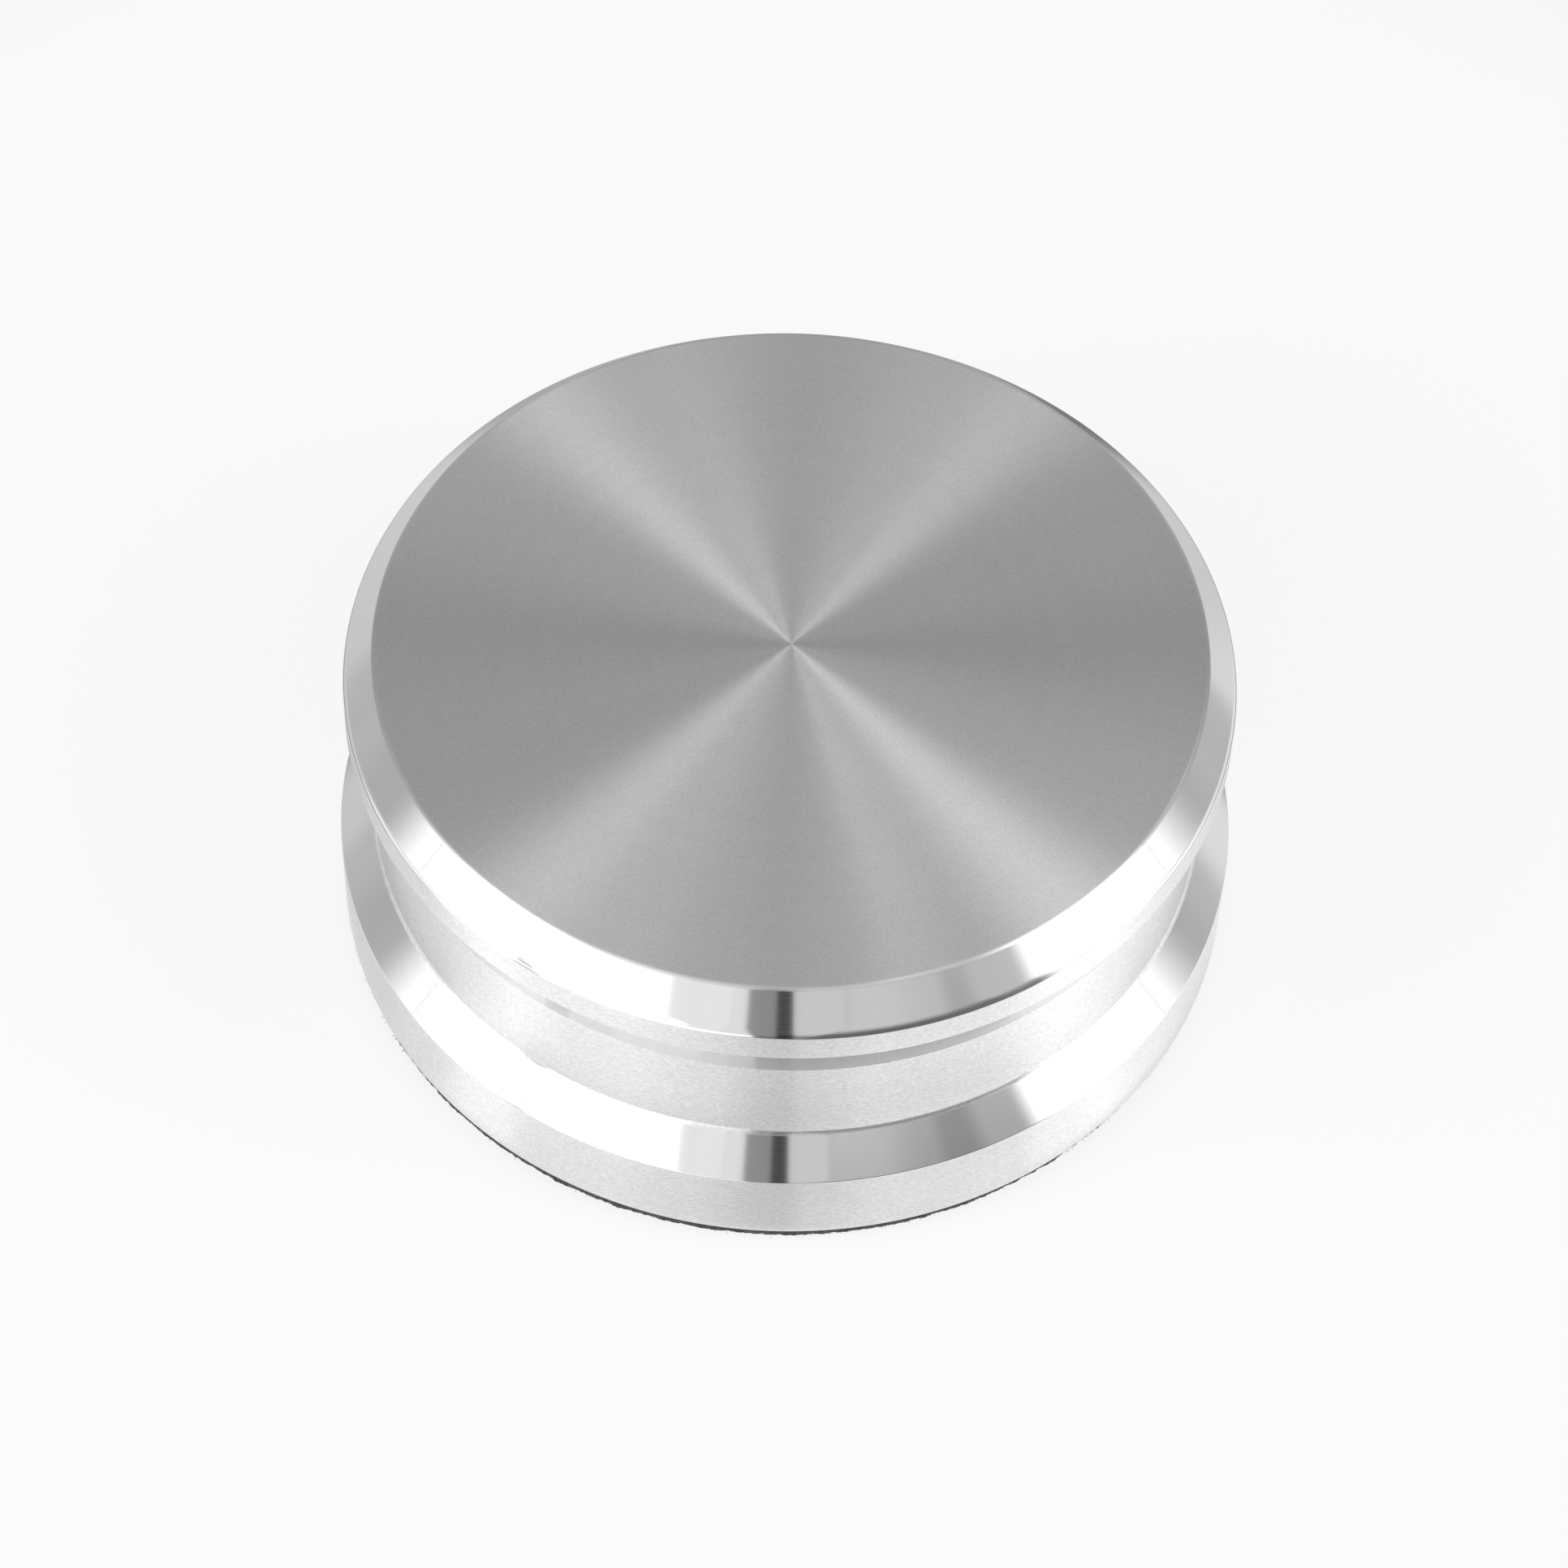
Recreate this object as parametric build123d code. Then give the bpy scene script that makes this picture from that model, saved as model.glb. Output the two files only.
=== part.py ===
from build123d import *

import math
import os

# Record weight: a solid aluminium puck turned on a lathe, with a thin felt pad bonded under its base.
# It is dropped over the spindle of a record player and presses the record onto the platter by gravity alone.
# Sizes are in millimetres. +Z is up along the turning axis, and the origin is the centre of the pad's underside.

# Turned diameters
base_diameter = 80.0  # lower rim, the widest turning
flange_diameter = 77.6  # upper rim
waist_diameter = 73.8  # bottom of the finger grip
face_diameter = 72.1  # flat top face, inside its bevel

# Heights of the turned bands, from the top face down
top_bevel_height = 3.05
flange_land_height = 3.1
undercut_height = 4.65  # cone that runs in from the flange to the waist
waist_height = 9.5
base_bevel_height = 3.3
base_rim_height = 7.95

# Edge rounds left by the finishing cuts
face_edge_round = 0.9
flange_edge_round = 1.2
flange_foot_round = 0.2
waist_top_round = 0.5
waist_foot_round = 0.9
rim_edge_round = 0.2
rim_foot_round = 0.3

# Spindle bore, drilled up from the underside
spindle_diameter = 7.2
spindle_clearance = 0.15  # all round the spindle
bore_depth = 22.0  # mouth chamfer and straight wall, without the drill's point
bore_mouth_chamfer = 0.8
drill_point_angle = 118.0

# Felt pad
pad_thickness = 1.2
pad_inset = 0.4  # from the rim's outside to the pad's cut edge
pad_hole_margin = 0.45  # from the bore's chamfer to the pad's hole

# Radii that follow
base_radius = base_diameter / 2
flange_radius = flange_diameter / 2
waist_radius = waist_diameter / 2
face_radius = face_diameter / 2
bore_radius = spindle_diameter / 2 + spindle_clearance
mouth_radius = bore_radius + bore_mouth_chamfer

# Heights that follow, from the underside up
underside = pad_thickness
rim_top = underside + base_rim_height
waist_foot = rim_top + base_bevel_height
waist_top = waist_foot + waist_height
flange_foot = waist_top + undercut_height
flange_top = flange_foot + flange_land_height
top_face = flange_top + top_bevel_height
bore_end = underside + bore_depth
drill_tip = bore_end + bore_radius / math.tan(math.radians(drill_point_angle / 2))


def turned(outline, rounds):
    """Revolves an outline of (radius, height) corners about Z, with the named corners rounded."""
    corners = {name: (radius, 0, height) for name, (radius, height) in outline.items()}
    section = make_face(Polyline(*corners.values(), close=True))
    for name, size in rounds.items():
        corner = section.vertices().sort_by_distance(corners[name])[0]
        section = fillet(corner, size)
    return revolve(section, Axis.Z)


def make_weight_body():
    """The turned puck, in one piece: the grip's outline outside, and the spindle bore inside."""
    outline = {
        "top_centre": (0, top_face),
        "face_edge": (face_radius, top_face),
        "flange_edge": (flange_radius, flange_top),
        "flange_foot": (flange_radius, flange_foot),
        "waist_top": (waist_radius, waist_top),
        "waist_foot": (waist_radius, waist_foot),
        "rim_edge": (base_radius, rim_top),
        "rim_foot": (base_radius, underside),
        "bore_mouth": (mouth_radius, underside),
        "bore_start": (bore_radius, underside + bore_mouth_chamfer),
        "bore_end": (bore_radius, bore_end),
        "drill_tip": (0, drill_tip),
    }
    rounds = {
        "face_edge": face_edge_round,
        "flange_edge": flange_edge_round,
        "flange_foot": flange_foot_round,
        "waist_top": waist_top_round,
        "waist_foot": waist_foot_round,
        "rim_edge": rim_edge_round,
        "rim_foot": rim_foot_round,
    }
    return turned(outline, rounds)


def make_base_pad():
    """The felt disc under the base, cut a little inside the rim and open for the spindle."""
    ring = Circle(base_radius - pad_inset) - Circle(mouth_radius + pad_hole_margin)
    return extrude(ring, pad_thickness)


os.makedirs("parts", exist_ok=True)
export_step(make_weight_body(), "parts/weight_body.step")
export_step(make_base_pad(), "parts/base_pad.step")
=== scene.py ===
import logging
import math
from dataclasses import dataclass
from enum import Enum
from typing import Any, Optional, Union

import bpy
from bpy.types import ID, AreaLight, Material, Mesh, Node, NodeSocket, NodeTree, Object
from mathutils import Matrix, Vector


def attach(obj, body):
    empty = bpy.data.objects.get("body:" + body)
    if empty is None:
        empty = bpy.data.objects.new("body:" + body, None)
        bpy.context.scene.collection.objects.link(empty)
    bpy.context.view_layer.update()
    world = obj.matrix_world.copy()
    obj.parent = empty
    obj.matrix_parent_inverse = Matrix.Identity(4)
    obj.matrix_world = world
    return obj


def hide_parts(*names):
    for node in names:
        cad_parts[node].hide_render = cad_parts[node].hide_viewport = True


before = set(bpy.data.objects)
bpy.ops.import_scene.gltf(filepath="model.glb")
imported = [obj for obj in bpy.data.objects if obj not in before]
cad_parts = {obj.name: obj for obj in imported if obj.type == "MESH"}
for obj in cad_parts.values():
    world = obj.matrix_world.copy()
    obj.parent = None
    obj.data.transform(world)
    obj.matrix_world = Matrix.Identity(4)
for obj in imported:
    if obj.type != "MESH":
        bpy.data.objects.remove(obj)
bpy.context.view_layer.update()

# Record weight: an aluminium puck turned in one piece, standing on a thin felt pad.
# Lengths are in metres, in the part's own frame: +Z is the turning axis, and height 0 is the pad's underside.
# Azimuth 0 is the front, towards -Y, and a positive azimuth is to the right, towards +X.

MM = 0.001
# Points that are closer than this become one.
WELD = 0.001 * MM
# Most values of a noise texture lie in this span.
NOISE_SPAN = (0.3, 0.7)
BODY = "root"
log = logging.getLogger("record_weight")

Feed = Union[NodeSocket, float, int, bool, str, tuple, Material]


class Finish(Enum):
    """Finishes of the turned body, numbered as the lathe tree dresses them."""

    FACE = 0
    BEVEL = 1
    EDGE = 2
    BAND = 3
    UNDERCUT = 4
    BORE = 5
    LIP = 6


class Graph:
    """A node tree while it is drawn: adds nodes, sets their options and joins their sockets."""

    def __init__(self, tree: NodeTree) -> None:
        """Starts on a tree that exists."""
        self.tree = tree

    def node(self, kind: str, feeds: Optional[dict[Union[str, int], Feed]] = None,
             **options: Any) -> Node:
        """Adds one node.

        Args:
            kind: Blender's name of the node type.
            feeds: sockets or constants, by the name or number of the input that takes them.
            options: properties of the node itself.

        Returns:
            The new node.
        """
        made = self.tree.nodes.new(kind)
        for name, value in options.items():
            setattr(made, name, value)
        for name, value in (feeds or {}).items():
            self.feed(made.inputs[name], value)
        return made

    def feed(self, target: NodeSocket, value: Feed) -> None:
        """Links a socket to an input, or sets the input's constant."""
        if isinstance(value, NodeSocket):
            self.tree.links.new(value, target)
        else:
            target.default_value = value

    def math(self, operation: str, *values: Feed) -> NodeSocket:
        """Adds a Math node and returns its result."""
        return self.node("ShaderNodeMath", dict(enumerate(values)), operation=operation).outputs[0]

    def whole(self, operation: str, *values: Feed) -> NodeSocket:
        """Adds an Integer Math node and returns its result."""
        return self.node("FunctionNodeIntegerMath", dict(enumerate(values)), operation=operation).outputs[0]

    def spread(self, value: Feed, source: tuple[float, float], target: tuple[float, float],
               smooth: bool = False) -> NodeSocket:
        """Maps a value from one range to another.

        Args:
            value: what is mapped.
            source: the range that it comes from; past its ends the result stays.
            target: the range that it goes to.
            smooth: True for a soft start and end.

        Returns:
            The mapped value.
        """
        feeds = {"Value": value, "From Min": source[0], "From Max": source[1],
                 "To Min": target[0], "To Max": target[1]}
        kind = "SMOOTHSTEP" if smooth else "LINEAR"
        return self.node("ShaderNodeMapRange", feeds, interpolation_type=kind).outputs["Result"]

    def blend(self, share: Feed, first: Feed, second: Feed) -> NodeSocket:
        """Mixes two numbers and returns the result."""
        return self.node("ShaderNodeMix", {0: share, 2: first, 3: second}, data_type="FLOAT").outputs[0]

    def mix(self, share: Feed, first: Feed, second: Feed) -> NodeSocket:
        """Mixes two colours and returns the result."""
        return self.node("ShaderNodeMix", {0: share, 6: first, 7: second}, data_type="RGBA").outputs[2]

    def rise(self, value: Feed, span: tuple[float, float]) -> NodeSocket:
        """Goes softly from 0 to 1 as a value crosses a span."""
        return self.spread(value, span, (0.0, 1.0), smooth=True)

    def fall(self, value: Feed, span: tuple[float, float]) -> NodeSocket:
        """Goes softly from 1 to 0 as a value crosses a span."""
        return self.spread(value, span, (1.0, 0.0), smooth=True)

    def vector(self, operation: str, *values: Feed) -> NodeSocket:
        """Adds a Vector Math node and returns its result, which is a number for a length."""
        made = self.node("ShaderNodeVectorMath", dict(enumerate(values)), operation=operation)
        return made.outputs["Value" if operation == "LENGTH" else "Vector"]

    def noise(self, vector: Feed, scale: Feed, detail: float, **others: Feed) -> NodeSocket:
        """Adds a Noise Texture, whose other inputs go by name, and returns its value."""
        feeds = {"Vector": vector, "Scale": scale, "Detail": detail, **others}
        return self.node("ShaderNodeTexNoise", feeds).outputs[0]

    def place(self) -> NodeSocket:
        """Reads the Object coordinates."""
        return self.node("ShaderNodeTexCoord").outputs["Object"]

    def axes(self, vector: Feed) -> tuple[NodeSocket, ...]:
        """Splits a vector into its three numbers."""
        return tuple(self.node("ShaderNodeSeparateXYZ", {0: vector}).outputs)

    def radius(self, axes: tuple[NodeSocket, ...]) -> NodeSocket:
        """Works out the distance from the turning axis."""
        squares = [self.math("MULTIPLY", axis, axis) for axis in axes[:2]]
        return self.math("SQRT", self.math("ADD", *squares))

    def bearing(self, axes: tuple[NodeSocket, ...]) -> NodeSocket:
        """Works out the azimuth in degrees."""
        return self.math("DEGREES", self.math("ARCTAN2", axes[0], self.math("MULTIPLY", axes[1], -1.0)))


def grey(level: float) -> tuple[float, float, float, float]:
    """A neutral colour of that linear level."""
    return (level, level, level, 1.0)


def new_material(name: str) -> tuple[Material, Graph]:
    """Makes an empty node material.

    Args:
        name: the material's name.

    Returns:
        The material and its graph, with no node in it.
    """
    material = bpy.data.materials.new(name)
    material.use_nodes = True
    material.node_tree.nodes.clear()
    return material, Graph(material.node_tree)


def new_object(name: str, data: ID) -> Object:
    """Links a mesh, light or camera into the scene as an object at the origin."""
    made = bpy.data.objects.new(name, data)
    bpy.context.scene.collection.objects.link(made)
    return made


def at_azimuth(azimuth: float, radius: float, height: float) -> Vector:
    """A point at an azimuth in degrees, a distance from the axis and a height."""
    bearing = math.radians(azimuth)
    return Vector((radius * math.sin(bearing), -radius * math.cos(bearing), height))


def end_in_glow(material: Material, graph: Graph, strength: Feed) -> Material:
    """Ends a material in a white glow that isn't sampled as a lamp."""
    light = graph.node("ShaderNodeEmission", {"Color": grey(1.0), "Strength": strength})
    graph.node("ShaderNodeOutputMaterial", {"Surface": light.outputs[0]})
    material.cycles.emission_sampling = "NONE"
    return material


def reflected_piece(name: str, spots: list[Vector], faces: list[tuple[int, ...]],
                    material: Material) -> Object:
    """Makes a stage object that only glossy rays see.

    Args:
        name: the object's name.
        spots: its points.
        faces: its faces, by the numbers of their points.
        material: what it is dressed in.

    Returns:
        The stage object.
    """
    mesh = bpy.data.meshes.new(name)
    mesh.from_pydata(spots, [], faces)
    mesh.materials.append(material)
    made = new_object(name, mesh)
    made.visible_camera = False
    made.visible_diffuse = False
    made.visible_shadow = False
    made.visible_transmission = False
    made.visible_volume_scatter = False
    return made


@dataclass(frozen=True)
class TurnedFinish:
    """A lathe finish on aluminium: fine marks round the axis, and a sheen stretched across them.

    The marks follow a path across the surface, given by how fast it gains radius and height. A tool pass is
    many marks wide, and the shares say how much the passes, a slow drift and the grain change the tone.
    """

    name: str
    radial: float
    axial: float
    roughness: float
    stretch: float
    pitch: float
    depth: float
    tone: float = 0.78
    tone_change: float = 0.03
    roughness_change: float = 0.02
    grain_long: float = 0.2 * MM
    grain_fine: float = 0.2 * MM
    haze: float = 0.0
    haze_roughness: float = 0.6
    edge_tint: float = 1.0
    pass_marks: int = 14
    drift_scale: float = 90.0
    pass_share: float = 0.15
    drift_share: float = 0.25
    grain_share: float = 0.6

    def material(self) -> Material:
        """Draws the finish as a material.

        Returns:
            A metal whose marks, grain, tone and roughness follow the Object coordinates, with a wider sheen
            mixed in where the finish has haze.
        """
        material, graph = new_material(self.name)
        place = graph.place()
        axes = graph.axes(place)
        path = graph.math("ADD", graph.math("MULTIPLY", graph.radius(axes), self.radial),
                          graph.math("MULTIPLY", axes[2], self.axial))
        marks = self._rings(graph, path, self.pitch, 3.0)
        passes = self._rings(graph, path, self.pass_marks * self.pitch, 2.0)
        drift = graph.noise(place, self.drift_scale, 3.0)
        shrink = (1 / self.grain_long, 1 / self.grain_long, 1 / self.grain_fine)
        grain = graph.noise(graph.vector("MULTIPLY", place, shrink), 1.0, 2.0)
        grain = graph.spread(grain, NOISE_SPAN, (0.0, 1.0))
        share = graph.math("MULTIPLY", drift, self.drift_share)
        share = graph.math("MULTIPLY_ADD", passes, self.pass_share, share)
        share = graph.math("MULTIPLY_ADD", grain, self.grain_share, share)
        tone = graph.mix(share, grey(self.tone * (1 - self.tone_change)),
                         grey(self.tone * (1 + self.tone_change)))
        roughness = graph.spread(marks, NOISE_SPAN, (self.roughness - self.roughness_change,
                                                     self.roughness + self.roughness_change))
        around = graph.vector("NORMALIZE", graph.vector("CROSS_PRODUCT", (0.0, 0.0, 1.0), place))
        bump = graph.node("ShaderNodeBump", {"Height": marks, "Distance": self.depth, "Strength": 1.0})
        metal = graph.node("ShaderNodeBsdfPrincipled", {
            "Base Color": tone, "Metallic": 1.0, "Roughness": roughness, "Anisotropic": self.stretch,
            "Anisotropic Rotation": 0.25, "Tangent": around, "Normal": bump.outputs[0],
            "Specular Tint": grey(self.edge_tint),
        }).outputs[0]
        if self.haze:
            wide = graph.node("ShaderNodeBsdfPrincipled", {
                "Base Color": tone, "Metallic": 1.0, "Roughness": self.haze_roughness,
                "Specular Tint": grey(self.edge_tint),
            }).outputs[0]
            metal = graph.node("ShaderNodeMixShader", {0: self.haze, 1: metal, 2: wide}).outputs[0]
        graph.node("ShaderNodeOutputMaterial", {"Surface": metal})
        return material

    @staticmethod
    def _rings(graph: Graph, path: NodeSocket, pitch: float, detail: float) -> NodeSocket:
        """Noise that changes only along the path, so that it makes rings of about that pitch."""
        feeds = {"W": path, "Scale": 1.0 / pitch, "Detail": detail}
        return graph.node("ShaderNodeTexNoise", feeds, noise_dimensions="1D").outputs[0]


@dataclass(frozen=True)
class FeltFinish:
    """Dark pressed wool felt: matted fibres with lighter strands between them."""

    name: str = "dark_felt"
    dark: float = 0.012
    light: float = 0.055
    fibre: float = 0.25 * MM
    depth: float = 0.08 * MM
    swirl_scale: float = 0.4
    strand_scale: float = 1.6
    strand_share: float = 0.4
    tone_span: tuple[float, float] = (0.35, 0.68)

    def material(self) -> Material:
        """Draws the finish as a material that follows the Object coordinates."""
        material, graph = new_material(self.name)
        place = graph.place()
        swirl = graph.noise(place, self.swirl_scale / self.fibre, 4.0, Distortion=2.5)
        strands = graph.noise(place, self.strand_scale / self.fibre, 5.0, Distortion=4.0)
        height = graph.math("MULTIPLY", strands, self.strand_share)
        height = graph.math("MULTIPLY_ADD", swirl, 1.0 - self.strand_share, height)
        tone = graph.mix(graph.spread(height, self.tone_span, (0.0, 1.0)), grey(self.dark), grey(self.light))
        bump = graph.node("ShaderNodeBump", {"Height": height, "Distance": self.depth, "Strength": 0.9})
        felt = graph.node("ShaderNodeBsdfPrincipled", {
            "Base Color": tone, "Roughness": 0.95, "Specular IOR Level": 0.15, "Sheen Weight": 0.25,
            "Sheen Roughness": 0.6, "Normal": bump.outputs[0],
        })
        graph.node("ShaderNodeOutputMaterial", {"Surface": felt.outputs[0]})
        return material


@dataclass(frozen=True)
class Corner:
    """A corner of a turned outline, with its edge round, the finish of the run that leaves it and its own.

    The round meets the run before it and the run after it at the two kinks, in degrees.
    """

    radius: float
    height: float
    edge_round: float = 0.0
    finish: Finish = Finish.FACE
    edge_finish: Finish = Finish.EDGE
    kinks: tuple[float, float] = (0.0, 0.0)


@dataclass(frozen=True)
class Outline:
    """A chain of corners that a lathe turns, drawn as points that are close only at the edge rounds."""

    corners: tuple[Corner, ...]
    arc_steps: int = 8
    guard: float = 0.04 * MM
    longest_run: float = 4.0 * MM

    def points(self) -> list[tuple[float, float, Finish]]:
        """Works out the points of the outline.

        Returns:
            Radius, height and finish of each point; the finish is that of the stretch to the next point.
        """
        found: list[tuple[float, float, Finish]] = []
        last = len(self.corners) - 1
        for place, corner in enumerate(self.corners):
            if corner.edge_round and 0 < place < last:
                arc = self._arc(place)
                found.extend((x, z, corner.edge_finish) for x, z in arc[:-1])
                found.append((*arc[-1], corner.finish))
            else:
                found.append((corner.radius, corner.height, corner.finish))
        return self._with_guards(found)

    def _arc(self, place: int) -> list[tuple[float, float]]:
        """Points of the round at one corner, from the run before it to the run after it."""
        corner = self._at(place)
        before = (self._at(place - 1) - corner).normalized()
        after = (self._at(place + 1) - corner).normalized()
        size = self.corners[place].edge_round
        first, second = (math.radians(kink) for kink in self.corners[place].kinks)
        opening = before.angle(after)
        along = size * (math.cos(first) + math.cos(second) * math.cos(opening)) / math.sin(opening)
        inward = (before - after * math.cos(opening)).normalized()
        centre = corner + after * along + inward * (size * math.cos(second))
        start = corner + before * ((centre - corner).dot(before) - size * math.sin(first)) - centre
        end = corner + after * (along - size * math.sin(second)) - centre
        turn = start.angle_signed(end)
        spots = []
        for step in range(self.arc_steps + 1):
            angle = -turn * step / self.arc_steps
            spot = centre + Matrix.Rotation(angle, 2) @ start
            spots.append((spot.x, spot.y))
        return spots

    def _at(self, place: int) -> Vector:
        """A corner as a flat vector."""
        return Vector((self.corners[place].radius, self.corners[place].height))

    def _with_guards(self, chain: list[tuple[float, float, Finish]]) -> list[tuple[float, float, Finish]]:
        """Divides long runs, and adds a point just inside each end, which keeps their shading flat."""
        full = []
        for (x0, z0, finish), (x1, z1, _) in zip(chain, chain[1:]):
            full.append((x0, z0, finish))
            length = math.hypot(x1 - x0, z1 - z0)
            if length < 4 * self.guard:
                continue
            parts = math.ceil(length / self.longest_run)
            inner = [self.guard, *(length * k / parts for k in range(1, parts)), length - self.guard]
            full.extend((x0 + (x1 - x0) * s / length, z0 + (z1 - z0) * s / length, finish) for s in inner)
        full.append(chain[-1])
        return full

    def mesh(self, name: str) -> Mesh:
        """Draws the outline as a chain of points in the XZ plane, which carry the number of their finish."""
        chain = self.points()
        mesh = bpy.data.meshes.new(name)
        mesh.from_pydata([(x, 0.0, z) for x, z, _ in chain], [(k, k + 1) for k in range(len(chain) - 1)], [])
        numbers = mesh.attributes.new("finish", "INT", "POINT")
        numbers.data.foreach_set("value", [finish.value for _, _, finish in chain])
        return mesh


class NodesPiece:
    """Geometry Nodes work that pieces share: sockets, modifier inputs and the plain mesh at the end."""

    @staticmethod
    def new_tree(name: str, inputs: dict[str, str]) -> tuple[Graph, dict[str, NodeSocket]]:
        """Makes a geometry tree with named inputs.

        Args:
            name: the tree's name.
            inputs: socket types by input name.

        Returns:
            The tree's graph, and the group input's sockets by name.
        """
        tree = bpy.data.node_groups.new(name, "GeometryNodeTree")
        for label, kind in inputs.items():
            tree.interface.new_socket(label, in_out="INPUT", socket_type=kind)
        tree.interface.new_socket("Geometry", in_out="OUTPUT", socket_type="NodeSocketGeometry")
        graph = Graph(tree)
        start = graph.node("NodeGroupInput")
        return graph, {label: start.outputs[label] for label in inputs}

    @staticmethod
    def freeze(name: str, base: Mesh, tree: NodeTree,
               values: dict[str, Feed]) -> Object:
        """Runs a tree on a mesh and keeps the result as a plain mesh.

        Args:
            name: the finished piece's name.
            base: the mesh that the tree starts from.
            tree: the geometry tree.
            values: the modifier's inputs by name.

        Returns:
            An object at the origin with no modifier.
        """
        draft = new_object(name + ".draft", base)
        modifier = draft.modifiers.new("nodes", "NODES")
        modifier.node_group = tree
        keys = {item.name: item.identifier for item in tree.interface.items_tree
                if item.item_type == "SOCKET" and item.in_out == "INPUT"}
        for label, value in values.items():
            modifier[keys[label]] = value
        graph = bpy.context.evaluated_depsgraph_get()
        mesh = bpy.data.meshes.new_from_object(draft.evaluated_get(graph), preserve_all_data_layers=True,
                                               depsgraph=graph)
        mesh.name = name
        bpy.data.objects.remove(draft)
        NodesPiece.drop_empty_slot(mesh)
        return new_object(name, mesh)

    @staticmethod
    def drop_empty_slot(mesh: Mesh) -> None:
        """Removes the unused first material slot that a mesh made by nodes starts with."""
        if mesh.materials[0] is not None:
            return
        numbers = [face.material_index - 1 for face in mesh.polygons]
        mesh.materials.pop(index=0)
        mesh.polygons.foreach_set("material_index", numbers)


class Lathe(NodesPiece):
    """Geometry Nodes tree that turns an outline about Z and dresses each stretch in its own finish."""

    @classmethod
    def tree(cls, finishes: list[Finish]) -> NodeTree:
        """Draws the tree.

        Args:
            finishes: the finishes that get a material input of their own.

        Returns:
            A tree with inputs for the outline, the facets round the axis, the weld and each material.
        """
        inputs = {"Outline": "NodeSocketGeometry", "Facets": "NodeSocketInt", "Weld": "NodeSocketFloat"}
        inputs.update({finish.name: "NodeSocketMaterial" for finish in finishes})
        graph, given = cls.new_tree("turned_outline", inputs)
        count = graph.node("GeometryNodeAttributeDomainSize", {0: given["Outline"]}, component="MESH")
        columns = graph.whole("ADD", given["Facets"], 1)
        grid = graph.node("GeometryNodeMeshGrid", {"Vertices X": count.outputs["Point Count"],
                                                   "Vertices Y": columns})
        index = graph.node("GeometryNodeInputIndex").outputs[0]
        station = graph.whole("DIVIDE_FLOOR", index, columns)
        step = graph.whole("MODULO", index, columns)
        position = graph.node("GeometryNodeInputPosition").outputs[0]
        place = graph.node("GeometryNodeSampleIndex", {
            0: given["Outline"], "Value": position, "Index": station,
        }, data_type="FLOAT_VECTOR", domain="POINT").outputs[0]
        angle = graph.math("MULTIPLY", graph.math("DIVIDE", step, given["Facets"]), 2 * math.pi)
        turned = graph.node("ShaderNodeVectorRotate", {"Vector": place, "Angle": angle},
                            rotation_type="Z_AXIS")
        shaped = graph.node("GeometryNodeSetPosition", {"Geometry": grid.outputs["Mesh"],
                                                        "Position": turned.outputs[0]})
        number = graph.node("GeometryNodeInputNamedAttribute", {"Name": "finish"}, data_type="INT").outputs[0]
        stretch = graph.whole("DIVIDE_FLOOR", index, given["Facets"])
        sampled = graph.node("GeometryNodeSampleIndex", {
            0: given["Outline"], "Value": number, "Index": stretch,
        }, data_type="INT", domain="POINT").outputs[0]
        marked = graph.node("GeometryNodeStoreNamedAttribute", {
            "Geometry": shaped.outputs[0], "Name": "finish", "Value": sampled,
        }, data_type="INT", domain="FACE")
        welded = graph.node("GeometryNodeMergeByDistance", {"Geometry": marked.outputs[0],
                                                            "Distance": given["Weld"]})
        smooth = graph.node("GeometryNodeSetShadeSmooth", {"Geometry": welded.outputs[0]})
        dressed = graph.node("GeometryNodeRealizeInstances", {0: smooth.outputs[0]}).outputs[0]
        for finish in finishes:
            chosen = graph.node("FunctionNodeCompare", {2: number, 3: finish.value},
                                data_type="INT", operation="EQUAL").outputs[0]
            dressed = graph.node("GeometryNodeSetMaterial", {"Geometry": dressed, "Selection": chosen,
                                                             "Material": given[finish.name]}).outputs[0]
        graph.node("NodeGroupOutput", {0: dressed})
        return graph.tree


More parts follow.
